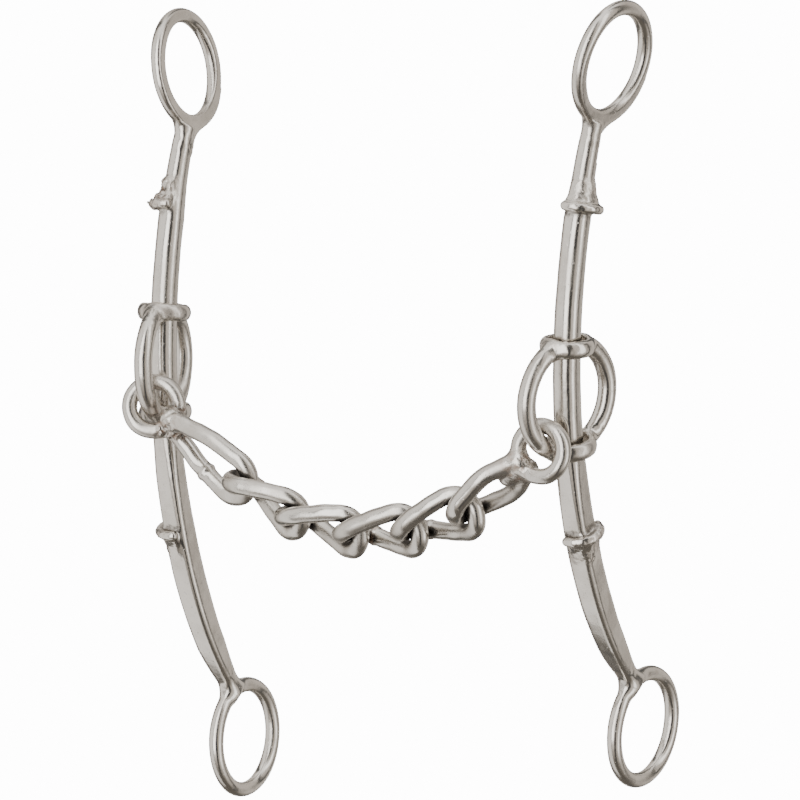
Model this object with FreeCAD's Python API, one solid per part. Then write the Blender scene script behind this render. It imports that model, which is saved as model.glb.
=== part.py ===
"""Sliding-gag chain-mouth bit.

Two curved cheeks, each with a headstall ring, a rein ring and two welded stops; two slider rings
that run on the cheeks between the stops; and a mouthpiece of six twisted links between two eyes.
The frame: +X runs across the mouth from the left cheek to the right, -Y points to the front of the
horse's lips and +Z is up. The origin is the middle of the mouthpiece, between links 3 and 4.
"""
import FreeCAD, Part
import math
import os
from FreeCAD import Rotation, Vector

# ---- Driving dimensions, mm and degrees -------------------------------------------------------
MOUTH_WIDTH = 127.8          # between the centrelines of the two shanks
CHEEK_STAGGER = 12.0         # the right cheek hangs this much higher than the left
MOUTH_DROP = 25.8            # the middle of the chain hangs this far under the level of the cheeks

BAR_X = 6.7                  # shank bar, across the mouth
BAR_Y = 7.1                  # shank bar, fore and aft
BAR_CORNER = 2.4
SHANK_R_UPPER = 178.6        # three tangent arcs, bulging to the front
SHANK_R_MIDDLE = 156.5
SHANK_R_LOWER = 110.7
MIDDLE_ARC_TOP = 38.0        # where the middle arc ends, measured along the bar from its apex
MIDDLE_ARC_BOTTOM = -50.0

RING_R = 14.66               # centreline of the headstall and rein rings
RING_WIRE_R = 2.05
HEADSTALL_RING_AT = (27.7, 94.95)     # fore-aft and height in the cheek's own plane
REIN_RING_AT = (27.1, -93.7)
HEADSTALL_RING_LEAN = 9.0    # the headstall ring is bent outwards
BAR_TO_RING = 1.0            # the bar's ends stop this far outside the rings' centrelines
SEARCH_TOP, SEARCH_BOTTOM = 70.0, -65.0      # along the bar, where looking for its ends begins
SEARCH_STEP = 0.05
WEB_THICKNESS = 2.4
WEB_DROP = 9.0               # how far down the bar the web reaches
WEB_SPREAD = 34.0            # how far round the ring it reaches, degrees
WEB_BITE = 1.0               # how far its root reaches into the bar's rear face
WEB_HOLLOW = (1.2, 0.6)      # how far its rear edge curves in, towards the bar and the ring

UPPER_STOP_AT = 60.0         # lip of the upper stop, measured along the bar
LOWER_STOP_AT = -27.0        # lip of the lower stop
STOP_LENGTH = 8.5
STOP_REACH = 6.6             # from the middle of the bar to the lip's edge
STOP_LIP = 1.6
STOP_RIM_ROUND = 0.5
STOP_SHOULDER_ROUND = 0.6
STOP_WAIST_R = 4.5
STOP_WAIST_AT = 3.825        # from the lip
STOP_NECK_R = 3.4
STOP_CORE_R = 1.0            # hidden inside the bar
STOP_HALF_SPREAD = 88.0      # how far the stop wraps round the bar on each side of its outer face

SLIDER_R = 14.6              # centreline of the two bows
SLIDER_WIRE_R = 2.45
COLLAR_OFFSET = 13.7         # from the slider's middle to the middle of each collar
COLLAR_BORE_R = 5.1
COLLAR_WALL = 2.2
COLLAR_HEIGHT = 4.7
COLLAR_ROUND = 1.1
COLLAR_NIB = 0.3             # how far the rounding's middle is cut back, as a share of it
BOW_HALF_ANGLE = 68.0

LINK_WIRE_R = 2.35
LINK_PITCH = 18.6            # from joint to joint
LINK_CLEARANCE = 0.5
LINK_HALF_WIDTH = 6.3        # centreline
LINK_TWIST = (0.0, 80.0)     # where the front strand lies at each end: 0 in front, 90 on top
LEFT_END_TWIST = (60.0, 80.0)
RIGHT_END_TWIST = (0.0, 50.0)
MIDDLE_JOINT = (1.2, 0.0, 0.6)
LINK_SLOPES = (-24.0, -8.0, 8.0, 21.5)       # links 2 to 5
WELD_SPREAD = 1.9            # half the gap between an end link's two strands at its eye
WELD_DEPTH = 0.3             # how far those strands run past the centreline of the eye's wire
WELD_SLANT = 0.32            # how fast they spread from there

EYE_R = 6.7                  # centreline of the mouthpiece's eyes
EYE_WIRE_R = 2.15
# Where each eye is, how far it is turned about Z from facing the front, and its tilt
EYES = {
    "left": dict(at=(-61.46, 0.2, 28.2), yaw=23.8, tilt=-16.8),
    "right": dict(at=(60.74, 0.18, 29.01), yaw=1.4, tilt=-10.2),
}

# How each cheek hangs: how far behind the chain, its lean outwards, its swing about X and its toe
# about Z, then where its slider's middle is along the bar, and the slider's swivel
CHEEKS = {
    "left": dict(side=-1, setback=9.7, lean=-2.7, swing=3.2, toe=1.75, slider_at=18.75, swivel=10.6),
    "right": dict(side=1, setback=9.1, lean=2.2, swing=10.3, toe=-1.8, slider_at=10.94, swivel=-13.9),
}

X, Y, Z = Vector(1, 0, 0), Vector(0, 1, 0), Vector(0, 0, 1)
PARTS = {}


# ---- Small helpers ----------------------------------------------------------------------------
def turned(vector, axis, degrees):
    return Rotation(axis, degrees).multVec(vector)


def torus(centre, normal, ring_radius, wire_radius):
    return Part.makeTorus(ring_radius, wire_radius, centre, normal)


def wire_along(edges, radius):
    """A round wire that follows tangent edges."""
    path = Part.Wire(edges)
    start = edges[0].valueAt(edges[0].FirstParameter)
    tangent = edges[0].tangentAt(edges[0].FirstParameter)
    ring = Part.Wire(Part.makeCircle(radius, start, tangent))
    pipe = Part.BRepOffsetAPI.MakePipeShell(path)
    pipe.add(ring)
    pipe.build()
    pipe.makeSolid()
    return pipe.shape()


def biarc(start, start_dir, end, end_dir):
    """Two arcs that leave start along start_dir and reach end along end_dir."""
    gap = end - start
    both = start_dir + end_dir
    a = 2.0 * (1.0 - start_dir.dot(end_dir))
    b = gap.dot(both)
    if abs(a) < 1e-9:
        reach = gap.dot(gap) / (4.0 * gap.dot(end_dir))
    else:
        reach = (math.sqrt(b * b + a * gap.dot(gap)) - b) / a
    middle = (start + start_dir * reach + end - end_dir * reach) * 0.5
    return [tangent_arc(start, start_dir, middle), tangent_arc(end, end_dir * -1, middle, True)]


def tangent_arc(start, direction, end, flip=False):
    """The arc from start to end that leaves start along direction."""
    chord = end - start
    across = chord.cross(direction).cross(direction)
    if across.Length < 1e-6 * chord.Length:
        ends = (end, start) if flip else (start, end)
        return Part.LineSegment(*ends).toShape()
    across.normalize()
    radius = chord.dot(chord) / (2.0 * chord.dot(across))
    centre = start + across * radius
    bisector = ((start + end) * 0.5) - centre
    bisector.normalize()
    sign = 1 if chord.dot(direction) > 0 else -1
    crown = centre + bisector * abs(radius) * sign
    ends = (end, crown, start) if flip else (start, crown, end)
    return Part.Arc(*ends).toShape()


# ---- The cheeks -------------------------------------------------------------------------------
class Cheek:
    """Where one cheek stands. Its own plane holds its Y (fore and aft) and Z (up)."""

    def __init__(self, side, setback, lean, swing, toe, slider_at, swivel):
        self.side = side
        self.slider_at = slider_at
        self.swivel = swivel
        self.turn = Rotation(Z, toe) * Rotation(X, swing) * Rotation(Y, lean)
        self.base = Vector(side * MOUTH_WIDTH / 2, setback, MOUTH_DROP + side * CHEEK_STAGGER / 2)
        self.normal = self.turn.multVec(X)

    def at(self, x, y, z):
        return self.base + self.turn.multVec(Vector(x, y, z))

    def direction(self, y, z):
        return self.turn.multVec(Vector(0, y, z))

    def along(self, distance):
        """Point and upward tangent of the bar, at a distance along it from its apex."""
        y, z, heading = shank_curve(distance)
        return self.at(0, y, z), self.direction(math.sin(heading), math.cos(heading))


def shank_curve(distance):
    """Fore-aft place, height and heading of the bar's centreline in the cheek's plane."""
    inside = min(max(distance, MIDDLE_ARC_BOTTOM), MIDDLE_ARC_TOP)
    bend = inside / SHANK_R_MIDDLE
    y = SHANK_R_MIDDLE * (1 - math.cos(bend))
    z = SHANK_R_MIDDLE * math.sin(bend)
    rest = distance - inside
    radius = SHANK_R_UPPER if rest > 0 else SHANK_R_LOWER
    heading = bend + rest / radius
    y += radius * (math.cos(bend) - math.cos(heading))
    z += radius * (math.sin(heading) - math.sin(bend))
    return y, z, heading


def bar_section(cheek, distance):
    """The bar's rounded section, square to its centreline."""
    point, tangent = cheek.along(distance)
    fore = tangent.cross(cheek.normal)
    half_x, half_y = BAR_X / 2, BAR_Y / 2
    edges = []
    corners = [(half_x, half_y), (-half_x, half_y), (-half_x, -half_y), (half_x, -half_y)]
    for index, (cx, cy) in enumerate(corners):
        sx, sy = math.copysign(1, cx), math.copysign(1, cy)
        on_side = (cx, cy - sy * BAR_CORNER)
        on_end = (cx - sx * BAR_CORNER, cy)
        tip = BAR_CORNER * (1 - math.sqrt(0.5))
        crown = (cx - sx * tip, cy - sy * tip)
        first, last = (on_side, on_end) if index % 2 == 0 else (on_end, on_side)
        edges.append((first, crown, last))
    shapes = []
    to_3d = lambda uv: point + cheek.normal * uv[0] + fore * uv[1]
    for index, (first, crown, last) in enumerate(edges):
        shapes.append(Part.Arc(to_3d(first), to_3d(crown), to_3d(last)).toShape())
        following = edges[(index + 1) % 4][0]
        shapes.append(Part.LineSegment(to_3d(last), to_3d(following)).toShape())
    return Part.Face(Part.Wire(shapes))


def bar_stretch(cheek, bottom, top, radius):
    """A stretch of the bar that lies on one arc."""
    y, z, heading = shank_curve(bottom)
    centre = cheek.at(0, y + radius * math.cos(heading), z - radius * math.sin(heading))
    degrees = math.degrees((top - bottom) / radius)
    return bar_section(cheek, bottom).revolve(centre, cheek.normal * -1, degrees)


def shank_bar(cheek, bottom, top):
    lower = bar_stretch(cheek, bottom, MIDDLE_ARC_BOTTOM, SHANK_R_LOWER)
    middle = bar_stretch(cheek, MIDDLE_ARC_BOTTOM, MIDDLE_ARC_TOP, SHANK_R_MIDDLE)
    upper = bar_stretch(cheek, MIDDLE_ARC_TOP, top, SHANK_R_UPPER)
    return lower.fuse([middle, upper]).removeSplitter()


def distance_to_reach(ring_at, start, gap):
    """How far along the bar its centreline comes within gap of a ring's centre."""
    step = SEARCH_STEP if start > 0 else -SEARCH_STEP
    distance = start
    while True:
        y, z, _ = shank_curve(distance)
        if math.hypot(y - ring_at[0], z - ring_at[1]) <= gap:
            return distance
        distance += step


def ring_web(centre, toward, across, normal):
    """A flat web that fills the corner between a ring and the bar's rear edge."""
    root = centre + toward * (RING_R + WEB_DROP) + across * (BAR_Y / 2 - WEB_BITE)
    wing = centre + turned(toward, normal, WEB_SPREAD) * RING_R
    inner = centre + toward * RING_R
    hollow = (root + wing) * 0.5 - across * WEB_HOLLOW[0] - toward * WEB_HOLLOW[1]
    outline = [
        Part.LineSegment(inner, root).toShape(),
        Part.Arc(root, hollow, wing).toShape(),
        Part.LineSegment(wing, inner).toShape(),
    ]
    face = Part.Face(Part.Wire(outline))
    face.translate(normal * (-WEB_THICKNESS / 2))
    return face.extrude(normal * WEB_THICKNESS)


def stop(cheek, lip_at, growth):
    """A half bell on the outer side of the bar. Its lip faces the slider."""
    point, tangent = cheek.along(lip_at)
    away = tangent * growth
    outward = cheek.normal * cheek.side
    to_3d = lambda r, h: point + outward * r + away * h
    foot, rim = to_3d(STOP_CORE_R, 0), to_3d(STOP_REACH - STOP_RIM_ROUND, 0)
    shoulder = to_3d(STOP_REACH - STOP_SHOULDER_ROUND, STOP_LIP)
    waist = to_3d(STOP_WAIST_R, STOP_WAIST_AT)
    neck, top = to_3d(STOP_NECK_R, STOP_LENGTH), to_3d(STOP_CORE_R, STOP_LENGTH)
    outline = [
        Part.LineSegment(foot, rim).toShape(),
        Part.Arc(rim, to_3d(STOP_REACH, STOP_LIP / 2), shoulder).toShape(),
        Part.Arc(shoulder, waist, neck).toShape(),
        Part.LineSegment(neck, top).toShape(),
        Part.LineSegment(top, foot).toShape(),
    ]
    face = Part.Face(Part.Wire(outline))
    face.rotate(point, tangent, -STOP_HALF_SPREAD)
    return face.revolve(point, tangent, 2 * STOP_HALF_SPREAD)


def make_cheek(name, cheek):
    top = distance_to_reach(HEADSTALL_RING_AT, SEARCH_TOP, RING_R + BAR_TO_RING)
    bottom = distance_to_reach(REIN_RING_AT, SEARCH_BOTTOM, RING_R + BAR_TO_RING)
    bar = shank_bar(cheek, bottom, top)

    head_centre = cheek.at(0, *HEADSTALL_RING_AT)
    neck, _ = cheek.along(top)
    down = neck - head_centre
    down.normalize()
    neck_point = head_centre + down * (RING_R + RING_WIRE_R)
    lean_axis = down.cross(cheek.normal)
    lean_axis.normalize()
    lean_sign = cheek.side if turned(down * -1, lean_axis, 5).dot(cheek.normal) > 0 else -cheek.side
    lean = HEADSTALL_RING_LEAN * lean_sign
    headstall = torus(head_centre, cheek.normal, RING_R, RING_WIRE_R)
    headstall.rotate(neck_point, lean_axis, lean)
    rein = torus(cheek.at(0, *REIN_RING_AT), cheek.normal, RING_R, RING_WIRE_R)
    bar = bar.cut(headstall).cut(rein)

    rear = down.cross(cheek.normal)
    rear = rear if rear.dot(Y) > 0 else rear * -1
    turn_sign = 1 if turned(down, cheek.normal, 30).dot(rear) > 0 else -1
    web = ring_web(head_centre, down, rear, cheek.normal * turn_sign)
    web.rotate(neck_point, lean_axis, lean)
    headstall = headstall.fuse(web.cut(bar))

    upper = stop(cheek, UPPER_STOP_AT, 1).cut(bar)
    lower = stop(cheek, LOWER_STOP_AT, -1).cut(bar)
    PARTS[name + "_shank_bar"] = bar
    PARTS[name + "_headstall_ring"] = headstall
    PARTS[name + "_rein_ring"] = rein
    PARTS[name + "_upper_stop"] = upper
    PARTS[name + "_lower_stop"] = lower


# ---- The sliders ------------------------------------------------------------------------------
def collar(point, tangent):
    """A rounded band with a plain bore."""
    side = tangent.cross(X)
    side.normalize()
    inner, outer = COLLAR_BORE_R, COLLAR_BORE_R + COLLAR_WALL
    half = COLLAR_HEIGHT / 2
    to_3d = lambda r, h: point + side * r + tangent * h
    nib = COLLAR_ROUND * COLLAR_NIB
    edge = half - COLLAR_ROUND
    low_mouth, high_mouth = to_3d(inner, -edge), to_3d(inner, edge)
    low_rim, high_rim = to_3d(inner + COLLAR_ROUND, -half), to_3d(inner + COLLAR_ROUND, half)
    outline = [
        Part.Arc(low_mouth, to_3d(inner + nib, -half + nib), low_rim).toShape(),
        Part.Arc(low_rim, to_3d(outer, 0), high_rim).toShape(),
        Part.Arc(high_rim, to_3d(inner + nib, half - nib), high_mouth).toShape(),
        Part.LineSegment(high_mouth, low_mouth).toShape(),
    ]
    return Part.Face(Part.Wire(outline)).revolve(point, tangent, 360)


def slider_frame(cheek):
    """Middle of the slider, its upward direction and the direction of its front bow."""
    centre, tangent = cheek.along(cheek.slider_at)
    front = turned(cheek.direction(-1, 0), cheek.turn.multVec(Z), cheek.swivel)
    front = front - tangent * front.dot(tangent)
    front.normalize()
    return centre, tangent, front


def bow(centre, tangent, front, trims):
    """Half of the slider's round wire, from collar to collar."""
    normal = front.cross(tangent)
    angle = math.radians(BOW_HALF_ANGLE)
    spot = lambda a: centre + front * (SLIDER_R * math.cos(a)) + tangent * (SLIDER_R * math.sin(a))
    arc = Part.Arc(spot(-angle), spot(0), spot(angle)).toShape()
    half = wire_along([arc], SLIDER_WIRE_R)
    return half.cut(trims)


def make_slider(name, cheek):
    centre, tangent, front = slider_frame(cheek)
    trims = []
    for place, offset in (("upper", COLLAR_OFFSET), ("lower", -COLLAR_OFFSET)):
        point, axis = cheek.along(cheek.slider_at + offset)
        band = collar(point, axis)
        reach = COLLAR_HEIGHT
        bore = Part.makeCylinder(COLLAR_BORE_R, 2 * reach, point - axis * reach, axis)
        PARTS["%s_slider_%s_collar" % (name, place)] = band
        trims += [band, bore]
    tool = trims[0].fuse(trims[1:])
    PARTS[name + "_slider_front_bow"] = bow(centre, tangent, front, tool)
    PARTS[name + "_slider_rear_bow"] = bow(centre, tangent, front * -1, tool)


# ---- The mouthpiece ---------------------------------------------------------------------------
def flat_link(length):
    """One lap of an untwisted link: (x, side, dx, dside) at the points that its shape needs."""
    h = LINK_HALF_WIDTH
    straight = length / 2 - h
    quarter = [(0, h, 1, 0), (straight, h, 1, 0)]
    slant = h * math.sqrt(0.5)
    quarter.append((straight + slant, slant, 1, -1))
    lap = quarter + [(length / 2, 0, 0, -1)]
    lap += [(x, -y, -dx, dy) for x, y, dx, dy in reversed(quarter)]
    lap += [(-x, -y, -dx, -dy) for x, y, dx, dy in quarter[1:]]
    lap += [(-length / 2, 0, 0, 1)]
    lap += [(-x, y, dx, -dy) for x, y, dx, dy in reversed(quarter[1:])]
    return lap + lap[:1]


def flat_end_link(weld_x, length):
    """The open loop of an end link, from its weld round the far bow and back."""
    h = LINK_HALF_WIDTH
    straight = length / 2 - h
    slant = h * math.sqrt(0.5)
    half = [(weld_x, WELD_SPREAD, 1, WELD_SLANT), (0, h, 1, 0), (straight, h, 1, 0)]
    half.append((straight + slant, slant, 1, -1))
    back = [(x, -y, -dx, dy) for x, y, dx, dy in reversed(half)]
    return half + [(length / 2, 0, 0, -1)] + back


def twisted(point, length, twist):
    """Lift a flat link point into space: the side direction turns along the link."""
    x, side, dx, dside = point
    rate = math.radians(twist[1] - twist[0]) / length
    angle = math.radians(twist[0]) + rate * (x + length / 2)
    e = Vector(0, -math.cos(angle), math.sin(angle))
    e_turning = Vector(0, math.sin(angle), math.cos(angle))
    direction = X * dx + e * dside + e_turning * (side * rate * dx)
    direction.normalize()
    return X * x + e * side, direction


def link_wire(lap, length, twist):
    spots = [twisted(p, length, twist) for p in lap]
    edges = []
    for (p, d), (q, f) in zip(spots, spots[1:]):
        edges += biarc(p, d, q, f)
    half = len(edges) // 2
    first, second = wire_along(edges[:half], LINK_WIRE_R), wire_along(edges[half:], LINK_WIRE_R)
    return first.fuse(second).removeSplitter().Solids[0]


def chain_joints():
    """Places of the five joints, left to right."""
    moves = [turned(X, Y, -slope) * LINK_PITCH for slope in LINK_SLOPES]
    middle = Vector(*MIDDLE_JOINT)
    before = middle - moves[1]
    after = middle + moves[2]
    return [before - moves[0], before, middle, after, after + moves[3]]


def set_in_place(shape, middle, slope):
    shape.rotate(Vector(0, 0, 0), Y, -slope)
    shape.translate(middle)
    return shape


def end_slope(eye_at, joint, out):
    run = (joint - eye_at) * out
    return math.degrees(math.atan2(run.z, run.x))


def make_chain():
    joints = chain_joints()
    past_joint = LINK_WIRE_R / 2 + LINK_CLEARANCE / 4
    length = LINK_PITCH + 4 * past_joint
    for number in range(2, 6):
        slope = LINK_SLOPES[number - 2]
        link = link_wire(flat_link(length), length, LINK_TWIST)
        middle = (joints[number - 2] + joints[number - 1]) * 0.5 + turned(X, Y, -slope) * past_joint
        PARTS["chain_link_%d" % number] = set_in_place(link, middle, slope)

    # A link's left bow starts one step short of its joint and its right bow ends three steps past it
    ends = (("left", 1, joints[0], 1, 3 * past_joint, LEFT_END_TWIST),
            ("right", 6, joints[-1], -1, past_joint, RIGHT_END_TWIST))
    for name, number, joint, out, overrun, twist in ends:
        spec = EYES[name]
        eye_at = Vector(*spec["at"])
        facing = turned(turned(Y * -1, X, spec["tilt"]), Z, spec["yaw"])
        slope = end_slope(Vector(eye_at.x, 0, eye_at.z), joint, out)
        outward = turned(X, Y, -slope) * out
        reach = (joint - Vector(eye_at.x, 0, eye_at.z)).Length
        middle = joint + outward * (overrun - length / 2)
        weld_x = EYE_R - WELD_DEPTH - (reach + overrun - length / 2)
        if out < 0:
            twist = (-twist[1], -twist[0])
        link = link_wire(flat_end_link(weld_x, length), length, twist)
        if out < 0:
            link.rotate(Vector(0, 0, 0), Y, 180)
        eye = torus(eye_at, facing, EYE_R, EYE_WIRE_R)
        PARTS["chain_link_%d" % number] = set_in_place(link, middle, slope).cut(eye)
        PARTS[name + "_mouth_eye"] = eye


def build():
    make_chain()
    for name, settings in CHEEKS.items():
        cheek = Cheek(**settings)
        make_cheek(name, cheek)
        make_slider(name, cheek)


if __name__ == "__main__":
    os.makedirs("parts", exist_ok=True)
    build()
    for node, shape in PARTS.items():
        shape.exportStep("parts/%s.step" % node)
        state = (node, len(shape.Solids), shape.isValid(), shape.Volume)
        print("%-28s solids %d valid %s volume %.1f" % state)
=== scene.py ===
"""Looks of the sliding-gag chain-mouth bit: cast and welded steel, polished and then worn.

Every piece is meshed from a distance field in millimetres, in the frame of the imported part, so a
ring can run into its bar through a weld instead of standing against it.
"""
import math

import bpy
import numpy as np
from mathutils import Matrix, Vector


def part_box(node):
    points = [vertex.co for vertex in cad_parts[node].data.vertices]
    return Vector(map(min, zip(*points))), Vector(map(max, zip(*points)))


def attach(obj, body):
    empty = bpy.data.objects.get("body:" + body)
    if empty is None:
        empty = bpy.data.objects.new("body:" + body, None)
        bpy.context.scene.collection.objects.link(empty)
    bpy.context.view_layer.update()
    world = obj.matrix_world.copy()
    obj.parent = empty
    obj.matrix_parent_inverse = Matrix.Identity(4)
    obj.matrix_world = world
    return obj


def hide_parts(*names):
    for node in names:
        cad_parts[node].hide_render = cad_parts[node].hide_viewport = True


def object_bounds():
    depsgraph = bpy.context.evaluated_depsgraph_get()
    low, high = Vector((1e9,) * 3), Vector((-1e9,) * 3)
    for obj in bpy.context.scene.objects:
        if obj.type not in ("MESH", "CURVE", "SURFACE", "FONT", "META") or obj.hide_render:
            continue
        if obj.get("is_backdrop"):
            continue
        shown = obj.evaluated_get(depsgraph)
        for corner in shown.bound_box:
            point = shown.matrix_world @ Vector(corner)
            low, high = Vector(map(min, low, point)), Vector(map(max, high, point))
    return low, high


MM = 0.001

# ---- The part's dimensions, mm and degrees ------------------------------------------------------
MOUTH_WIDTH, CHEEK_STAGGER, MOUTH_DROP = 127.8, 12.0, 25.8
SHANK_R = (110.7, 156.5, 178.6)
ARC_ENDS = (-50.0, 38.0)
RING_R, RING_WIRE_R = 14.66, 2.05
HEAD_RING_AT, REIN_RING_AT = (27.7, 94.95), (27.1, -93.7)
HEAD_RING_LEAN = 9.0
SLIDER_R, SLIDER_WIRE_R, COLLAR_OFFSET = 14.6, 2.5, 13.7
LINK_WIRE_R, LINK_PITCH, LINK_CLEARANCE, LINK_HALF_WIDTH = 2.35, 18.6, 0.5, 6.3
SHOWN_WIRE_R = 2.41         # the links as they look, a hair stouter than they are modelled
LINK_TWIST = (0.0, 80.0)
MIDDLE_JOINT = np.array([1.2, 0.0, 0.6])
LINK_SLOPES = (-24.0, -8.0, 8.0, 21.5)
WELD_SPREAD, WELD_DEPTH, WELD_SLANT = 1.9, 0.3, 0.32
EYE_R, EYE_WIRE_R = 6.7, 2.15
EYES = {
    "left": dict(at=(-61.46, 0.2, 28.2), yaw=23.8, tilt=-16.8, twist=(60.0, 80.0)),
    "right": dict(at=(60.74, 0.18, 29.01), yaw=1.4, tilt=-10.2, twist=(0.0, 50.0)),
}
CHEEKS = {
    "left": dict(side=-1, setback=9.7, lean=-2.7, swing=3.2, toe=1.75, slider_at=18.75, swivel=10.6),
    "right": dict(side=1, setback=9.1, lean=2.2, swing=10.3, toe=-1.8, slider_at=10.94, swivel=-13.9),
}

# ---- Shapes that only show, mm ------------------------------------------------------------------
# The bar's half width, half depth and corner radius, each at places along it
BAR_HALF_X = ([-78, -66, -50, -36, 58, 68, 78, 86], [2.7, 3.2, 3.4, 3.45, 3.4, 2.9, 2.7, 2.4])
BAR_HALF_V = ([-78, -66, -50, -36, 58, 68, 78, 86], [2.6, 3.3, 3.6, 3.6, 3.5, 3.1, 2.9, 2.5])
BAR_CORNER = ([-78, -70, -50, -30, -12, 0, 50, 70, 86], [2.0, 1.5, 1.5, 1.5, 2.0, 2.8, 3.2, 2.7, 2.3])
# The headstall rings are ground flat on the face that looks right, this far from their middle plane
GROUND_FACE = {"left": 1.4, "right": 1.75}
NOT_GROUND = 60.0            # lifts the ground face clear of the bar where it isn't ground
WEB_HALF_THICKNESS, WEB_REACH = 1.35, 9.5
NECK_BLEND, FOOT_BLEND, WEB_BLEND, STOP_BLEND = 3.2, 3.4, 0.9, 1.2
UPPER_LIP_AT, LOWER_LIP_AT = 60.0, -27.0
STOP_LENGTH, STOP_REACH = 8.5, 6.4
# The collar's outside is an arc about a circle of this radius, and this far from it
COLLAR_ARC_AT, COLLAR_ARC_R, COLLAR_HALF, COLLAR_BORE_R = 4.24, 3.06, 2.33, 5.15
BOW_BLEND = 1.5

# ---- The camera ---------------------------------------------------------------------------------
VIEW_AZIMUTH, VIEW_ELEVATION, VIEW_DISTANCE = 32.381, 10.923, 1.8
VIEW_LENS = 303.75
VIEW_AIM = (0.0, 9.4, 25.8)
VIEW_SHIFT = (9.67, 8.85)    # right and up of the aim, mm


# ---- Fields -------------------------------------------------------------------------------------
def turn(axis, degrees):
    """Rotation matrix about a unit axis."""
    x, y, z = axis
    c, s = math.cos(math.radians(degrees)), math.sin(math.radians(degrees))
    cross = np.array([[0, -z, y], [z, 0, -x], [-y, x, 0]])
    return np.eye(3) * c + cross * s + np.outer(axis, axis) * (1 - c)


X, Y, Z = np.eye(3)


def unit(v):
    return v / np.linalg.norm(v)


def smin(a, b, k):
    h = np.maximum(k - np.abs(a - b), 0) / k
    return np.minimum(a, b) - h * h * k * 0.25


def smax(a, b, k):
    return -smin(-a, -b, k)


def ramp(x, low, high):
    t = np.clip((x - low) / (high - low), 0, 1)
    return t * t * (3 - 2 * t)


def near(x, middle, inside, outside):
    """1 within inside of the middle, falling to 0 at outside."""
    return ramp(-np.abs(x - middle), -outside, -inside)


class Ripple:
    """Smooth irregular waviness of about unit size."""

    def __init__(self, seed, wavelength, waves=14):
        rng = np.random.default_rng(seed)
        heading = rng.normal(size=(waves, 3))
        heading /= np.linalg.norm(heading, axis=1)[:, None]
        self.k = heading * (2 * np.pi / wavelength * rng.uniform(0.6, 1.5, waves))[:, None]
        self.phase = rng.uniform(0, 2 * np.pi, waves)

    def __call__(self, p):
        return np.sin(p @ self.k.T + self.phase).sum(1) / math.sqrt(len(self.phase) / 2)


COARSE, MIDDLE, FINE = Ripple(3, 5.2), Ripple(5, 2.1), Ripple(8, 1.1)


def torus(p, centre, normal, ring, wire):
    q = p - centre
    h = q @ normal
    r = np.sqrt(np.maximum((q * q).sum(1) - h * h, 0))
    return np.hypot(r - ring, h) - wire


def distance(p, centre):
    return np.linalg.norm(p - centre, axis=1)


def box2(a, b, half_a, half_b, corner):
    u, v = np.abs(a) - half_a + corner, np.abs(b) - half_b + corner
    return np.hypot(np.maximum(u, 0), np.maximum(v, 0)) + np.minimum(np.maximum(u, v), 0) - corner


# ---- Meshing ------------------------------------------------------------------------------------
CHEEK_STEP, SLIDER_STEP, CHAIN_STEP = 0.4, 0.35, 0.3     # mesh size, mm
CORNERS = np.array([(i, j, k) for i in (0, 1) for j in (0, 1) for k in (0, 1)])
BLOCK = 6                    # grid points along a block's side
BATCH = 600                  # blocks worked out at a time


def sample(field, low, count, step):
    """Field values on a grid, worked out only near the surface."""
    blocks = count // BLOCK
    grid = np.stack(np.meshgrid(*[np.arange(n) for n in blocks], indexing="ij"), -1).reshape(-1, 3)
    centre = field(low + (grid * BLOCK + (BLOCK - 1) / 2) * step)
    values = np.sign(centre).reshape(blocks)
    values = values.repeat(BLOCK, 0).repeat(BLOCK, 1).repeat(BLOCK, 2).astype(np.float32)
    close = grid[np.abs(centre) < BLOCK * step * 1.25 + step] * BLOCK
    cell = np.stack(np.meshgrid(*[np.arange(BLOCK)] * 3, indexing="ij"), -1).reshape(-1, 3)
    for start in range(0, len(close), BATCH):
        spots = (close[start:start + BATCH, None] + cell[None]).reshape(-1, 3)
        values[spots[:, 0], spots[:, 1], spots[:, 2]] = field(low + spots * step)
    return values


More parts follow.
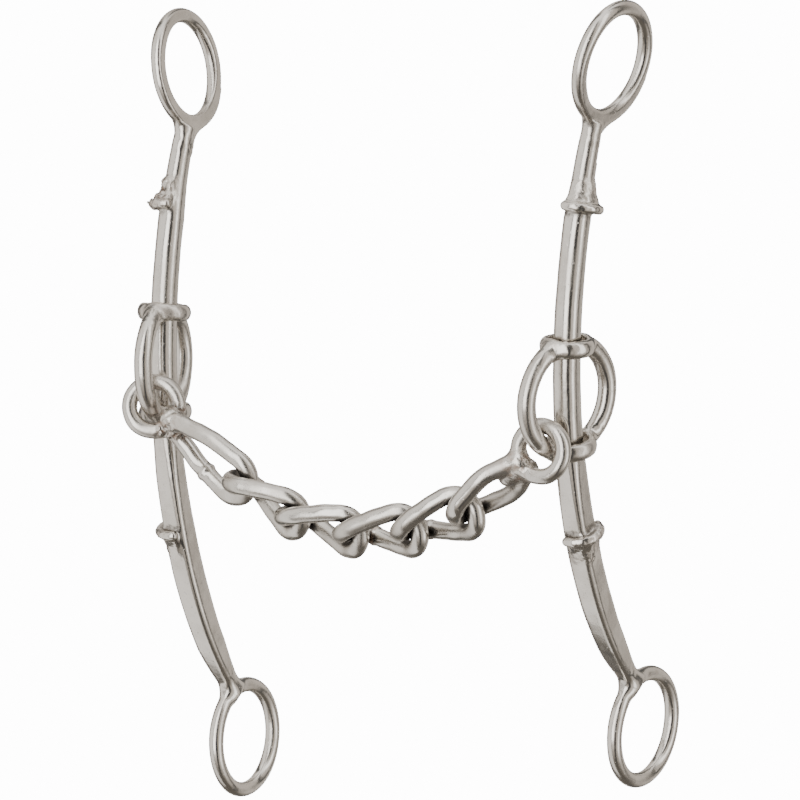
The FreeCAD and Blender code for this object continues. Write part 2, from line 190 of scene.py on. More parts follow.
def surface(field, low, high, step):
    """Closed quad mesh of the field's zero surface, with its points pulled onto that surface."""
    low = np.floor(np.asarray(low) / step) * step
    count = (np.ceil((np.asarray(high) - low) / step / BLOCK).astype(int) + 1) * BLOCK
    values = sample(field, low, count, step)
    values[[0, -1]] = values[:, [0, -1]] = values[:, :, [0, -1]] = 1
    inside = values < 0
    size = np.array(values.shape) - 1
    part = lambda a, c: a[c[0]:c[0] + size[0], c[1]:c[1] + size[1], c[2]:c[2] + size[2]]
    total = sum(part(inside, c).astype(np.int8) for c in CORNERS)
    active = (total > 0) & (total < 8)
    cells = np.argwhere(active)
    number = np.full(active.shape, -1)
    number[active] = np.arange(len(cells))
    points, hits = np.zeros((len(cells), 3)), np.zeros(len(cells))
    for a in CORNERS:
        for axis in range(3):
            if a[axis]:
                continue
            b = a + np.eye(3, dtype=int)[axis]
            va = values[tuple((cells + a).T)]
            vb = values[tuple((cells + b).T)]
            cut = (va < 0) != (vb < 0)
            t = va[cut] / (va[cut] - vb[cut])
            points[cut] += a + t[:, None] * (b - a)
            hits[cut] += 1
    verts = low + (cells + points / hits[:, None]) * step
    quads = []
    for axis in range(3):
        i, j = (axis + 1) % 3, (axis + 2) % 3
        e = np.eye(3, dtype=int)
        a = inside
        b = np.roll(inside, -1, axis)
        flip = a != b
        flip[tuple(slice(-1, None) if d == axis else slice(None) for d in range(3))] = False
        spots = np.argwhere(flip)
        ring = [spots, spots - e[i], spots - e[i] - e[j], spots - e[j]]
        ids = np.stack([number[tuple(r.T)] for r in ring], 1)
        out = a[tuple(spots.T)]
        ids[~out] = ids[~out][:, ::-1]
        quads.append(ids)
    nudge = 0.04
    for _ in range(2):
        d = field(verts)
        slope = np.stack([field(verts + axis * nudge) - d for axis in (X, Y, Z)], 1) / nudge
        move = -(d / np.maximum((slope ** 2).sum(1), 0.2))[:, None] * slope
        far = np.linalg.norm(move, axis=1)
        move *= np.minimum(1, 0.6 * step / np.maximum(far, 1e-9))[:, None]
        verts = verts + move
    slope = [field(verts + axis * nudge) - field(verts - axis * nudge) for axis in (X, Y, Z)]
    slope = np.stack(slope, 1)
    slope /= np.maximum(np.linalg.norm(slope, axis=1), 1e-9)[:, None]
    return verts, np.concatenate(quads), slope


def hollowness(field, verts, normals):
    """How far a point sits in a corner: 0 in the open and up to 1 in a crevice. The steel darkens by it
    as painted shade.
    """
    out = 0
    for reach in (0.6, 1.4, 2.6):
        out = out + np.clip(1 - field(verts + normals * reach) / reach, 0, 1) / 3
    return out


def make_piece(name, node, body, field, around, weld, material, step):
    """A shown piece that stands for a CAD node. around() is the field of all that stands near it."""
    low, high = (np.array(v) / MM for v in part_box(node))
    verts, quads, normals = surface(field, low - 2.5, high + 2.5, step)
    mesh = bpy.data.meshes.new(name)
    mesh.vertices.add(len(verts))
    mesh.vertices.foreach_set("co", (verts * MM).astype(np.float32).ravel())
    mesh.loops.add(quads.size)
    mesh.loops.foreach_set("vertex_index", quads.astype(np.int32).ravel())
    mesh.polygons.add(len(quads))
    mesh.polygons.foreach_set("loop_start", np.arange(0, quads.size, 4, dtype=np.int32))
    mesh.polygons.foreach_set("use_smooth", np.ones(len(quads), bool))
    mesh.update()
    mesh.validate()
    # The corner depth is kept per point so the steel can paint shade into corners and between parts
    for label, values in (("crevice_shade", hollowness(around, verts, normals)), ("weld", weld(verts))):
        layer = mesh.attributes.new(label, "FLOAT", "POINT")
        layer.data.foreach_set("value", np.asarray(values, np.float32))
    mesh.materials.append(material)
    piece = bpy.data.objects.new(name, mesh)
    bpy.context.scene.collection.objects.link(piece)
    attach(piece, body)
    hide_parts(node)
    return piece


SEAM_DIP = 0.05
SEAM_LAP = 0.5


def make_group(nodes, body, whole, weld, material, step, around=None):
    """Several nodes of one body that run into each other.

    nodes maps each node to its own field; whole is the field of all of them together. A node takes
    the stretch of the surface that is nearest to it, and a hair less of the next one's.
    """
    for node, own in nodes.items():
        others = [f for n, f in nodes.items() if n != node]

        def field(p, own=own, others=others):
            full = whole(p)
            if not others:
                return full
            lead = own(p) - np.min([f(p) for f in others], axis=0)
            return np.maximum(full + SEAM_DIP * ramp(lead, -0.3, 0.3), lead * 0.5 - SEAM_LAP)

        make_piece(node + "_steel", node, body, field, around or whole, weld, material, step)


# ---- The cheeks ---------------------------------------------------------------------------------
class Cheek:
    """A cheek's own plane: y runs fore and aft, z up and x across, towards the right cheek."""

    def __init__(self, side, setback, lean, swing, toe, slider_at, swivel):
        self.side, self.slider_at, self.swivel = side, slider_at, swivel
        self.turn = turn(Z, toe) @ turn(X, swing) @ turn(Y, lean)
        self.base = np.array([side * MOUTH_WIDTH / 2, setback, MOUTH_DROP + side * CHEEK_STAGGER / 2])

    def local(self, p):
        return (p - self.base) @ self.turn

    def world(self, q):
        return self.base + self.turn @ np.asarray(q, float)


ARCS = []


def lay_arcs():
    """Start, end, radius, heading at the start and centre of the bar's three arcs."""
    low, high = (s / SHANK_R[1] for s in ARC_ENDS)
    middle = np.array([SHANK_R[1], 0.0])
    inward = lambda heading: np.array([math.cos(heading), -math.sin(heading)])
    lower = middle + inward(low) * (SHANK_R[0] - SHANK_R[1])
    upper = middle + inward(high) * (SHANK_R[2] - SHANK_R[1])
    ARCS.extend([(ARC_ENDS[0], SHANK_R[0], low, lower), (0.0, SHANK_R[1], 0.0, middle),
                 (ARC_ENDS[1], SHANK_R[2], high, upper)])


lay_arcs()


def along_bar(q):
    """Distance along the bar and how far in front of its centreline, for points in its plane."""
    found = []
    for start, radius, heading, centre in ARCS:
        dy, dz = centre[0] - q[:, 1], q[:, 2] - centre[1]
        angle = np.arctan2(dz, dy)
        found.append((start + radius * (angle - heading), np.hypot(dy, dz) - radius))
    (s0, v0), (s1, v1), (s2, v2) = found
    s = np.where(s1 < ARC_ENDS[0], s0, np.where(s1 > ARC_ENDS[1], s2, s1))
    v = np.where(s1 < ARC_ENDS[0], v0, np.where(s1 > ARC_ENDS[1], v2, v1))
    return s, v


def bar_point(s):
    """The centreline point and upward direction at a distance along the bar, in its plane."""
    index = 0 if s < ARC_ENDS[0] else 2 if s > ARC_ENDS[1] else 1
    start, radius, heading, centre = ARCS[index]
    angle = heading + (s - start) / radius
    point = np.array([0, centre[0] - radius * math.cos(angle), centre[1] + radius * math.sin(angle)])
    return point, np.array([0, math.sin(angle), math.cos(angle)])


def reach_ring(ring_at, start, gap):
    s, step = start, 0.05 if start > 0 else -0.05
    while np.hypot(*(bar_point(s)[0][1:] - ring_at)) > gap:
        s += step
    return s


BAR_TOP = reach_ring(HEAD_RING_AT, 70.0, RING_R + 1.0)
BAR_BOTTOM = reach_ring(REIN_RING_AT, -65.0, RING_R + 1.0)


def stop_field(s, v, x, side, lip_at, growth):
    """A half bell round the bar's outer side, with a rolled lip that faces the slider."""
    h = (s - lip_at) * growth
    r = np.hypot(x, v)
    girth = [STOP_REACH - 0.4, STOP_REACH - 0.9, 4.9, 4.1, 3.2]
    body = (r - np.interp(h, [0, 2, 3.4, 5.2, STOP_LENGTH], girth)) * 0.8
    body = smax(body, 0.1 - h, 0.9)
    body = smax(body, h - STOP_LENGTH, 1.2)
    rolled_lip = np.hypot(r - STOP_REACH + 1.0, h - 1.25) - 1.15
    body = smin(body, rolled_lip, 0.7)
    inner_side = -(x * side + 0.35 * v) - 0.6
    return smax(body, inner_side, 1.6)


class CheekFields:
    """Fields of one cheek's five pieces, all in the part's frame."""

    def __init__(self, name, cheek):
        self.name, self.cheek, self.ground = name, cheek, GROUND_FACE[name]
        side = cheek.side
        head = np.array([0, *HEAD_RING_AT])
        down = unit(bar_point(BAR_TOP)[0] - head)
        neck = head + down * (RING_R + RING_WIRE_R)
        axis = unit(np.cross(down, X))
        sign = side if (turn(axis, 5) @ -down)[0] > 0 else -side
        lean = turn(axis, HEAD_RING_LEAN * sign)
        self.head_centre = neck + lean @ (head - neck)
        self.head_normal = lean @ X
        self.head_down = lean @ down
        self.head_rear = unit(np.cross(self.head_down, self.head_normal))
        if self.head_rear[1] < 0:
            self.head_rear = -self.head_rear
        self.rein_centre = np.array([0, *REIN_RING_AT])

    def ring_web(self, q, s, v):
        """The flat web that fills the corner behind the neck."""
        offset = q - self.head_centre
        n = offset @ self.head_normal
        r = np.hypot(offset @ self.head_down, offset @ self.head_rear)
        corner = smin(np.abs(r - RING_R) - RING_WIRE_R + 0.3, np.abs(v) - 2.6, 7.5)
        corner = smax(corner, -(r - RING_R) - 0.5, 0.6)
        corner = smax(corner, v + 0.5, 1.0)
        corner = smax(corner, r - RING_R - WEB_REACH, 2.0)
        corner = np.maximum(corner, 2.0 - offset @ self.head_down)
        return smax(corner * 0.9, np.abs(n) - WEB_HALF_THICKNESS, 0.5)

    def parts(self, p):
        """The point in the bar's own measures, then the field of each piece there."""
        q = self.cheek.local(p)
        s, v = along_bar(q)
        x = q[:, 0]
        side = self.cheek.side
        half_x, half_v, corner = (np.interp(s, *place) for place in (BAR_HALF_X, BAR_HALF_V, BAR_CORNER))
        bar = box2(x, v, half_x, half_v, corner)
        bar = np.maximum(bar, np.maximum(s - BAR_TOP, BAR_BOTTOM - s))
        head = torus(q, self.head_centre, self.head_normal, RING_R, RING_WIRE_R)
        rein = torus(q, self.rein_centre, X, RING_R, RING_WIRE_R)
        upper = stop_field(s, v, x, side, UPPER_LIP_AT, 1)
        lower = stop_field(s, v, x, side, LOWER_LIP_AT, -1)
        return q, s, v, x, bar, head, rein, self.ring_web(q, s, v), upper, lower

    def whole(self, p):
        """All five pieces run together, with grinding, weld blobs and uneven hand polishing."""
        q, s, v, x, bar, head, rein, web, upper, lower = self.parts(p)
        full = smin(bar, head, NECK_BLEND)
        full = smin(full, web, WEB_BLEND)
        offset = q - self.head_centre
        proud = np.maximum(1 - ramp(s, 68, 74), ramp(v, -1.2, 1.2) * (1 - ramp(s, 78, 84)))
        flat = self.ground + 0.35 * ramp(-offset @ self.head_down, -6, 8) + NOT_GROUND * proud
        full = smax(full, offset @ self.head_normal - flat, 0.2)
        full = smin(full, rein, FOOT_BLEND)
        full = smin(full, upper, STOP_BLEND)
        full = smin(full, lower, STOP_BLEND)
        full = full - 0.018 * COARSE(p * 0.5)
        return full - self.weld_at(s, x) * (0.11 * MIDDLE(p) + 0.05 * FINE(p))

    def weld_at(self, s, x):
        """How rough the welding left the surface. The left cheek's is the rougher."""
        side = self.cheek.side
        rough_upper, rough_neck = (1.6, 0.25) if side < 0 else (0.25, 0.12)
        outer = ramp(x * side, -3, 2)
        upper = near(s, 64.5, 3.0, 6.0) * outer * rough_upper
        lower = near(s, -31.5, 3.0, 6.0) * outer * 0.45
        neck = near(s, 79, 1.0, 4.0) * rough_neck
        foot = near(s, -77, 1.0, 4.0) * 0.15
        return np.clip(upper + lower + neck + foot, 0, 1.6)

    def weld(self, p):
        q = self.cheek.local(p)
        s, _ = along_bar(q)
        return self.weld_at(s, q[:, 0])

    def nodes(self):
        pick = lambda *indices: lambda p: np.min([self.parts(p)[i] for i in indices], axis=0)
        labels = {"shank_bar": (4,), "headstall_ring": (5, 7), "rein_ring": (6,), "upper_stop": (8,),
                  "lower_stop": (9,)}
        return {"%s_%s" % (self.name, label): pick(*which) for label, which in labels.items()}


# ---- The sliders --------------------------------------------------------------------------------
class SliderFields:
    """Two bows and two collars that run on the bar."""

    def __init__(self, name, cheek):
        self.name, self.cheek = name, cheek
        self.centre, self.up = bar_point(cheek.slider_at)
        front = turn(Z, cheek.swivel) @ -Y
        self.front = unit(front - self.up * (front @ self.up))
        self.normal = np.cross(self.front, self.up)

    def parts(self, p):
        q = self.cheek.local(p)
        s, v = along_bar(q)
        s = s - self.cheek.slider_at
        ahead = (q - self.centre) @ self.front
        wire = torus(q, self.centre, self.normal, SLIDER_R, SLIDER_WIRE_R)
        r = np.hypot(q[:, 0], v)
        collars = []
        for sign in (1, -1):
            h = s - sign * COLLAR_OFFSET
            outside = np.hypot(r - COLLAR_ARC_AT, h) - COLLAR_ARC_R
            collars.append(smax(outside, np.abs(h) - COLLAR_HALF, 0.6))
        return s, r, wire, ahead, collars

    def whole(self, p):
        s, r, wire, _, (upper, lower) = self.parts(p)
        full = smin(smin(wire, upper, BOW_BLEND), lower, BOW_BLEND)
        full = smax(full, COLLAR_BORE_R - r, 0.5)
        weld = near(np.abs(s), COLLAR_OFFSET, 2.5, 6.5)
        return full - 0.03 * COARSE(p * 0.6) - weld * 0.018 * MIDDLE(p)

    def weld(self, p):
        _, _, wire, _, collars = self.parts(p)
        return near(wire, np.minimum(*collars), 0.1, 1.4) * 0.6

    def bow(self, p, sign):
        _, _, wire, ahead, _ = self.parts(p)
        return np.maximum(wire, -sign * ahead)

    def nodes(self):
        labels = {
            "front_bow": lambda p: self.bow(p, 1),
            "rear_bow": lambda p: self.bow(p, -1),
            "upper_collar": lambda p: self.parts(p)[4][0],
            "lower_collar": lambda p: self.parts(p)[4][1],
        }
        return {"%s_slider_%s" % (self.name, label): field for label, field in labels.items()}


# ---- The mouthpiece -----------------------------------------------------------------------------
def tangent_arc(start, direction, end, count=9):
    """Points of the arc that leaves start along direction and ends at end."""
    chord = end - start
    ahead = chord @ direction
    across = chord - direction * ahead
    offset = np.linalg.norm(across)
    t = np.linspace(0, 1, count)[:, None]
    if offset < 1e-6 * np.linalg.norm(chord):
        return start + chord * t
    half = math.atan2(offset, ahead)
    radius = np.linalg.norm(chord) / (2 * math.sin(half))
    angle = 2 * half * t
    return start + radius * (np.sin(angle) * direction + (1 - np.cos(angle)) * across / offset)


def biarc(start, start_dir, end, end_dir):
    gap = end - start
    a = 2.0 * (1.0 - start_dir @ end_dir)
    b = gap @ (start_dir + end_dir)
    if abs(a) < 1e-9:
        reach = (gap @ gap) / (4.0 * (gap @ end_dir))
    else:
        reach = (math.sqrt(b * b + a * (gap @ gap)) - b) / a
    middle = (start + start_dir * reach + end - end_dir * reach) * 0.5
    back = tangent_arc(end, -end_dir, middle)[::-1]
    return np.concatenate([tangent_arc(start, start_dir, middle), back[1:]])


def flat_link(length):
    """One lap of an untwisted link: along, side and their directions."""
    h = LINK_HALF_WIDTH
    straight, slant = length / 2 - h, h * math.sqrt(0.5)
    quarter = [(0, h, 1, 0), (straight, h, 1, 0), (straight + slant, slant, 1, -1)]
    lap = quarter + [(length / 2, 0, 0, -1)]
    lap += [(x, -y, -dx, dy) for x, y, dx, dy in reversed(quarter)]
    lap += [(-x, -y, -dx, -dy) for x, y, dx, dy in quarter[1:]]
    lap += [(-length / 2, 0, 0, 1)]
    lap += [(-x, y, dx, -dy) for x, y, dx, dy in reversed(quarter[1:])]
    return lap + lap[:1]


def flat_end_link(weld_x, length):
    """The loop of an end link, from its weld round the far bow and back."""
    h = LINK_HALF_WIDTH
    straight, slant = length / 2 - h, h * math.sqrt(0.5)
    half = [(weld_x, WELD_SPREAD, 1, WELD_SLANT), (0, h, 1, 0), (straight, h, 1, 0)]
    half += [(straight + slant, slant, 1, -1)]
    return half + [(length / 2, 0, 0, -1)] + [(x, -y, -dx, dy) for x, y, dx, dy in reversed(half)]


def twisted_path(lap, length, twist):
    """Centreline points of a link whose front strand turns from one facing to the other."""
    rate = math.radians(twist[1] - twist[0]) / length
    spots = []
    for x, side, dx, dside in lap:
        angle = math.radians(twist[0]) + rate * (x + length / 2)
        e = np.array([0, -math.cos(angle), math.sin(angle)])
        turning = np.array([0, math.sin(angle), math.cos(angle)])
        spots.append((X * x + e * side, unit(X * dx + e * dside + turning * (side * rate * dx))))
    runs = [biarc(p, d, q, f) for (p, d), (q, f) in zip(spots, spots[1:])]
    return np.concatenate([runs[0]] + [run[1:] for run in runs[1:]])


def chain_joints():
    """Places of the five joints, left to right."""
    moves = [turn(Y, -slope) @ X * LINK_PITCH for slope in LINK_SLOPES]
    before, after = MIDDLE_JOINT - moves[1], MIDDLE_JOINT + moves[2]
    return [before - moves[0], before, MIDDLE_JOINT, after, after + moves[3]]


# Where an end link's wire is stouter: the place and spread, as shares of its length, and by how much
END_BUMPS = {
    "left": [(0.0, 0.04, 0.3), (1.0, 0.04, 0.2), (0.76, 0.012, 0.4)],
    "right": [(0.0, 0.06, 0.3)],
}
NECK_LENGTH = {"left": 2.0, "right": 6.0}
END_ROUGHNESS = {"left": 1.0, "right": 0.3}


class Wire:
    """A round wire along a polyline, with its girth given along it."""

    def __init__(self, points, radius, bumps=()):
        self.a, self.b = points[:-1], points[1:]
        self.d = self.b - self.a
        self.sq = (self.d ** 2).sum(1)
        length = np.concatenate([[0], np.cumsum(np.sqrt(self.sq))])
        self.start, self.total = length[:-1], length[-1]
        self.radius, self.bumps = radius, bumps

    def nearest(self, p):
        best = np.full(len(p), 1e9)
        place = np.zeros(len(p))
        for a, d, sq, start in zip(self.a, self.d, self.sq, self.start):
            t = np.clip((p - a) @ d / sq, 0, 1)
            gap = ((p - a - t[:, None] * d) ** 2).sum(1)
            closer = gap < best
            best[closer] = gap[closer]
            place[closer] = start + t[closer] * math.sqrt(sq)
        return np.sqrt(best), place / self.total

    def __call__(self, p):
        gap, place = self.nearest(p)
        radius = self.radius
        for at, width, height in self.bumps:
            radius = radius + height * np.exp(-((place - at) / width) ** 2)
        return gap - radius


def middle_link(number, joints, lap, past):
    """Nodes, field and weld of one of the four links between the end links."""
    # Where each link's wire ends were welded together, as a share of its lap, and how proud it stands
    at, height = {2: (0.62, 0.30), 3: (0.64, 0.25), 4: (0.60, 0.28), 5: (0.62, 0.25)}[number]
    turned = turn(Y, -LINK_SLOPES[number - 2])
    middle = (joints[number - 2] + joints[number - 1]) / 2 + turned @ X * past
    wire = Wire(lap @ turned.T + middle, SHOWN_WIRE_R, [(at, 0.012, height), (at, 0.03, 0.12)])

    def whole(p):
        return wire(p) - 0.035 * COARSE(p * 0.8 + number * 9.7)

    def weld(p):
        return near(wire.nearest(p)[1], at, 0.005, 0.03)

    return {"chain_link_%d" % number: whole}, whole, weld


def end_link(name, number, joint, out, overrun, length):
    """Nodes, field and weld of an end link with the eye that it is welded to."""
    spec = EYES[name]
    eye_at = np.array(spec["at"])
    level = eye_at * (1, 0, 1)
    run = (joint - level) * out
    turned = turn(Y, -math.degrees(math.atan2(run[2], run[0])))
    outward = turned @ X * out
    middle = joint + outward * (overrun - length / 2)
    weld_x = EYE_R - WELD_DEPTH - (np.linalg.norm(joint - level) + overrun - length / 2)
    twist = spec["twist"] if out > 0 else tuple(-t for t in spec["twist"][::-1])
    if out < 0:
        turned = turned @ turn(Y, 180)
    path = twisted_path(flat_end_link(weld_x, length), length, twist) @ turned.T + middle
    wire = Wire(path, SHOWN_WIRE_R, END_BUMPS[name])
    eye_normal = turn(Z, spec["yaw"]) @ turn(X, spec["tilt"]) @ -Y
    joint_at = level + outward * (EYE_R + 0.6)
    across = outward * (NECK_LENGTH[name] - 0.6)

    def eye(p):
        return torus(p, eye_at, eye_normal, EYE_R, EYE_WIRE_R)

    def link(p):
        t = np.clip((p - joint_at) @ across / (across @ across), 0, 1)
        neck = np.linalg.norm(p - joint_at - t[:, None] * across, axis=1) - 2.5
        return smin(wire(p), neck, 1.6)

    def whole(p):
        full = smin(link(p), eye(p), 1.8)
        rough = near(distance(p, joint_at), 0, 3.0, 6.5) * END_ROUGHNESS[name]
        return full - 0.035 * COARSE(p * 0.8) - rough * (0.16 * MIDDLE(p) + 0.06 * FINE(p))

    def weld(p):
        return near(distance(p, joint_at), 0, 3.0, 7.5)

    return {"chain_link_%d" % number: link, name + "_mouth_eye": eye}, whole, weld


def make_chain(material):
    joints = chain_joints()
    past = LINK_WIRE_R / 2 + LINK_CLEARANCE / 4
    length = LINK_PITCH + 4 * past
    lap = twisted_path(flat_link(length), length, LINK_TWIST)
    links = [end_link("left", 1, joints[0], 1, 3 * past, length)]
    links += [middle_link(number, joints, lap, past) for number in range(2, 6)]
    links.append(end_link("right", 6, joints[-1], -1, past, length))
    for index, (nodes, whole, weld) in enumerate(links):
        # The neighbouring links' fields, so that painted shade falls in the gaps between links
        neighbours = [link[1] for link in links[max(index - 1, 0):index + 2]]
        around = lambda p, fields=neighbours: np.min([f(p) for f in fields], axis=0)
        body = "chain_link_%d" % (index + 1)
        make_group(nodes, body, whole, weld, material, CHAIN_STEP, around)


# ---- Materials ----------------------------------------------------------------------------------
class Nodes:
    """Short hand for wiring up a node tree."""

    def __init__(self, tree):
        self.tree = tree
        tree.nodes.clear()

    def add(self, kind, inputs=(), **settings):
        node = self.tree.nodes.new(kind)
        for key, value in settings.items():
            setattr(node, key, value)
        for key, value in dict(inputs).items():
            if isinstance(value, bpy.types.NodeSocket):
                self.tree.links.new(value, node.inputs[key])
            else:
                node.inputs[key].default_value = value
        return node

    def math(self, operation, a, b=0.0, clamp=False):
        return self.add("ShaderNodeMath", {0: a, 1: b}, operation=operation, use_clamp=clamp).outputs[0]

    def vector(self, operation, a, b=(0, 0, 0)):
        return self.add("ShaderNodeVectorMath", {0: a, 1: b}, operation=operation)

    def fade(self, value, low, high, to_low=0.0, to_high=1.0):
        node = self.add("ShaderNodeMapRange", {0: value, 1: low, 2: high, 3: to_low, 4: to_high},
                        interpolation_type="SMOOTHSTEP")
        return node.outputs[0]

    def mix(self, factor, a, b):
        node = self.add("ShaderNodeMix", data_type="RGBA")
        for index, value in ((0, factor), (6, a), (7, b)):
            if isinstance(value, bpy.types.NodeSocket):
                self.tree.links.new(value, node.inputs[index])
            else:
                node.inputs[index].default_value = value
        return node.outputs[2]

    def noise(self, at, scale, detail=3.0, roughness=0.55):
        node = self.add("ShaderNodeTexNoise", {"Vector": at, "Scale": scale, "Detail": detail,
                                               "Roughness": roughness})
        return node.outputs[0]


def steel(name, light, dark, smooth, rough, rust):
    """Worn polished steel: patches, scratches, pits, painted shade in the corners and rust by the welds.
    """
    material = bpy.data.materials.new(name)
    material.use_nodes = True
    n = Nodes(material.node_tree)
    at = n.vector("SCALE", n.add("ShaderNodeTexCoord").outputs["Object"])
    at.inputs["Scale"].default_value = 1 / MM
    at = at.outputs[0]
    patches = n.fade(n.noise(at, 0.09, 4.0), 0.38, 0.66)
    mottle = n.fade(n.noise(at, 0.55, 5.0, 0.62), 0.42, 0.72)
    specks = n.fade(n.noise(at, 3.2, 2.0), 0.62, 0.72)
    stretched = n.vector("MULTIPLY", at, (2.2, 2.2, 0.25)).outputs[0]
    scratches = n.noise(stretched, 1.7, 6.0, 0.7)
    crossed = n.vector("MULTIPLY", at, (0.3, 2.6, 1.9)).outputs[0]
    rubs = n.noise(crossed, 1.3, 6.0, 0.68)
    # Painted shade: how deep a point sits in a corner or against a neighbouring part, read from the mesh
    crevice_shade = n.add("ShaderNodeAttribute", attribute_name="crevice_shade").outputs["Fac"]
    weld = n.add("ShaderNodeAttribute", attribute_name="weld").outputs["Fac"]

    # Painted shade mask: the corner depth, made uneven along the corners
    uneven = n.math("MULTIPLY", n.math("SUBTRACT", mottle, 0.5), 0.22)
    corner = n.fade(n.math("ADD", crevice_shade, uneven), 0.13, 0.58)
    worn = n.math("ADD", n.math("MULTIPLY", patches, 0.6), n.math("MULTIPLY", mottle, 0.25))
    tint = n.mix(worn, light, dark)
    tint = n.mix(n.math("MULTIPLY", specks, 0.35), tint, (0.30, 0.27, 0.235, 1))
    # Painted shade: near-black mixed into the colour where shade would fall in corners and gaps between
    # parts
    tint = n.mix(n.math("MULTIPLY", corner, 0.9), tint, (0.050, 0.042, 0.036, 1))
    stain = n.math("MULTIPLY", n.math("MULTIPLY", weld, mottle), rust, clamp=True)
    tint = n.mix(stain, tint, (0.27, 0.135, 0.06, 1))
    scuffed = n.math("ADD", n.math("MULTIPLY", patches, 0.45), n.math("MULTIPLY", scratches, 0.55))
    roughness = n.fade(scuffed, 0.2, 0.8, smooth, rough)
    roughness = n.math("ADD", roughness, n.math("MULTIPLY", corner, 0.22))
    roughness = n.math("ADD", roughness, n.math("MULTIPLY", stain, 0.25), clamp=True)

    pits = n.fade(n.noise(at, 1.25, 1.0), 0.70, 0.78)
    height = n.math("ADD", n.math("MULTIPLY", scratches, 0.22), n.math("MULTIPLY", rubs, 0.2))
    height = n.math("ADD", height, n.math("MULTIPLY", n.noise(at, 0.32, 2.0), 1.1))
    height = n.math("SUBTRACT", height, n.math("MULTIPLY", pits, 0.8))
    lumps = n.math("MULTIPLY", weld, n.noise(at, 2.4, 4.0))
    height = n.math("ADD", height, n.math("MULTIPLY", lumps, 1.4))
    bump = n.add("ShaderNodeBump", {"Height": height, "Strength": 0.4, "Distance": 0.00011})
    metal = n.math("SUBTRACT", 1.0, n.math("MULTIPLY", stain, 0.5))
    looks = {"Base Color": tint, "Roughness": roughness, "Metallic": metal, "Normal": bump.outputs[0]}
    shader = n.add("ShaderNodeBsdfPrincipled", {**looks, "IOR": 2.5})
    n.add("ShaderNodeOutputMaterial", {"Surface": shader.outputs[0]})
    return material


# ---- Studio -------------------------------------------------------------------------------------
def camera_axes():
    a, e = math.radians(VIEW_AZIMUTH), math.radians(VIEW_ELEVATION)
    back = np.array([math.sin(a) * math.cos(e), -math.cos(a) * math.cos(e), math.sin(e)])
    right = np.array([math.cos(a), math.sin(a), 0])
    return right, np.cross(back, right), back


def make_camera():
    right, up, back = camera_axes()
    aim = (np.array(VIEW_AIM) + right * VIEW_SHIFT[0] + up * VIEW_SHIFT[1]) * MM
    data = bpy.data.cameras.new("camera")
    data.lens, data.sensor_width = VIEW_LENS, 36.0
    data.clip_start, data.clip_end = 0.1, 20.0
    camera = bpy.data.objects.new("camera", data)
    camera.location = aim + back * VIEW_DISTANCE
    camera.rotation_mode = "QUATERNION"
    camera.rotation_quaternion = Vector(-back).to_track_quat("-Z", "Y")
    bpy.context.scene.collection.objects.link(camera)
    bpy.context.scene.camera = camera


WHITE = 14.0
FLOOR_Z = -0.30

# Lit and dark parts of the studio as the steel sees them. Azimuths are to the right of the camera,
# elevations above the horizon, both in degrees: left, right, bottom, top, softness, light, warmth
PANELS = (
    (-112, -52, -105, 50, 7, 1.35, 0.02),
    (-6, 24, -60, 70, 5, 0.07, 0.0),
    (-47, -11, -20, 62, 4, 3.6, 0.0),
    (-53, -47, -50, 60, 3, 0.06, 0.0),
    (53, 74, -30, 60, 4, 2.6, 0.0),
    (96, 112, -60, 70, 5, 0.10, 0.0),
    (150, 172, -60, 70, 5, 0.12, 0.0),
    (-150, -128, -60, 70, 5, 0.12, 0.0),
)


def make_world():
    world = bpy.data.worlds.new("studio")
    bpy.context.scene.world = world
    world.use_nodes = True
    n = Nodes(world.node_tree)
    ray = n.add("ShaderNodeTexCoord").outputs["Generated"]
    right, _, back = camera_axes()
    level = unit(np.array([back[0], back[1], 0]))
    across = n.vector("DOT_PRODUCT", ray, tuple(right)).outputs["Value"]
    toward = n.vector("DOT_PRODUCT", ray, tuple(level)).outputs["Value"]
    height = n.add("ShaderNodeSeparateXYZ", {0: ray}).outputs[2]
    azimuth = n.math("MULTIPLY", n.math("ARCTAN2", across, toward), 180 / math.pi)
    elevation = n.math("MULTIPLY", n.math("ARCSINE", height), 180 / math.pi)

    overhead = n.fade(elevation, 35, 75, 0.0, 1.0)
    below = n.fade(elevation, -60, -25, 1.0, 0.0)
    tone = n.mix(overhead, (0.80, 0.735, 0.66, 1), (1.7, 1.66, 1.60, 1))
    tone = n.mix(below, tone, (0.16, 0.145, 0.125, 1))
    for left, edge, bottom, top, soft, light, warm in PANELS:
        a = n.fade(azimuth, left - soft, left + soft)
        b = n.fade(azimuth, edge - soft, edge + soft, 1.0, 0.0)
        c = n.fade(elevation, bottom - 8, bottom + 8)
        d = n.fade(elevation, top - 8, top + 8, 1.0, 0.0)
        inside = n.math("MULTIPLY", n.math("MULTIPLY", a, b), n.math("MULTIPLY", c, d))
        tone = n.mix(inside, tone, (light, light * (0.985 - warm), light * (0.955 - 2 * warm), 1))
    seen = n.add("ShaderNodeLightPath").outputs["Is Camera Ray"]
    tone = n.mix(seen, tone, (WHITE, WHITE, WHITE, 1))
    shade = n.add("ShaderNodeBackground", {"Color": tone, "Strength": 1.0})
    n.add("ShaderNodeOutputWorld", {"Surface": shade.outputs[0]})


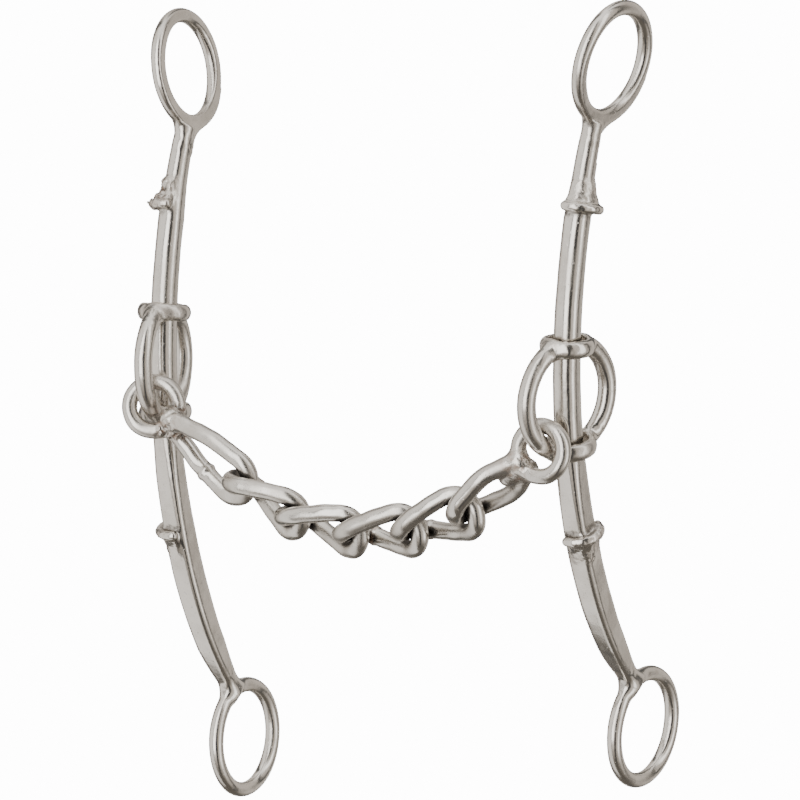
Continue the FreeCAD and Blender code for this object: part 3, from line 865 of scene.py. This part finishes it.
def make_floor():
    """A pale sweep far enough under the bit to catch no shadow."""
    mesh = bpy.data.meshes.new("floor")
    size, rings = 8.0, 12
    steps = np.linspace(-size, size, rings)
    verts = [(x, y, FLOOR_Z) for x in steps for y in steps]
    faces = [(i * rings + j, (i + 1) * rings + j, (i + 1) * rings + j + 1, i * rings + j + 1)
             for i in range(rings - 1) for j in range(rings - 1)]
    mesh.from_pydata(verts, [], faces)
    floor = bpy.data.objects.new("floor", mesh)
    bpy.context.scene.collection.objects.link(floor)
    material = bpy.data.materials.new("paper")
    material.use_nodes = True
    n = Nodes(material.node_tree)
    at = n.add("ShaderNodeTexCoord").outputs["Object"]
    grain = n.fade(n.noise(at, 220.0, 3.0), 0.3, 0.7, 0.78, 0.82)
    pale = n.add("ShaderNodeCombineColor", {0: grain, 1: grain, 2: grain}).outputs[0]
    paper = n.add("ShaderNodeEmission", {"Color": pale, "Strength": 0.30})
    lit = n.add("ShaderNodeEmission", {"Color": (1, 1, 1, 1), "Strength": WHITE})
    seen = n.add("ShaderNodeLightPath").outputs["Is Camera Ray"]
    both = n.add("ShaderNodeMixShader", {0: seen, 1: paper.outputs[0], 2: lit.outputs[0]})
    n.add("ShaderNodeOutputMaterial", {"Surface": both.outputs[0]})
    mesh.materials.append(material)
    floor.visible_glossy = floor.visible_diffuse = False
    floor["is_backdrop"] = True


# ---- Scene --------------------------------------------------------------------------------------
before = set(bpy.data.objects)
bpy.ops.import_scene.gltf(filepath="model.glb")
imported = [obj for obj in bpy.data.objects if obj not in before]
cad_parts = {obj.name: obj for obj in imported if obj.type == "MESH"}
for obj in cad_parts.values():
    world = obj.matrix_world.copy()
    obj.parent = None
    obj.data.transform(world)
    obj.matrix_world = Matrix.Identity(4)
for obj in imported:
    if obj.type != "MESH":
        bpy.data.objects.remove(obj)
cad_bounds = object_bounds()

cheek_steel = steel("cheek_steel", (0.74, 0.71, 0.67, 1), (0.62, 0.585, 0.54, 1), 0.13, 0.27, 0.5)
slider_steel = steel("slider_steel", (0.72, 0.69, 0.65, 1), (0.60, 0.57, 0.53, 1), 0.14, 0.30, 0.25)
chain_steel = steel("chain_steel", (0.70, 0.675, 0.64, 1), (0.56, 0.53, 0.49, 1), 0.17, 0.36, 0.7)

for name, settings in CHEEKS.items():
    cheek = Cheek(**settings)
    bar = CheekFields(name, cheek)
    make_group(bar.nodes(), name + "_cheek", bar.whole, bar.weld, cheek_steel, CHEEK_STEP)
    slider = SliderFields(name, cheek)
    make_group(slider.nodes(), name + "_slider", slider.whole, slider.weld, slider_steel,
               SLIDER_STEP)
make_chain(chain_steel)

make_camera()
make_world()
make_floor()

boxes = [[list(corner) for corner in box] for box in (cad_bounds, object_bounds())]
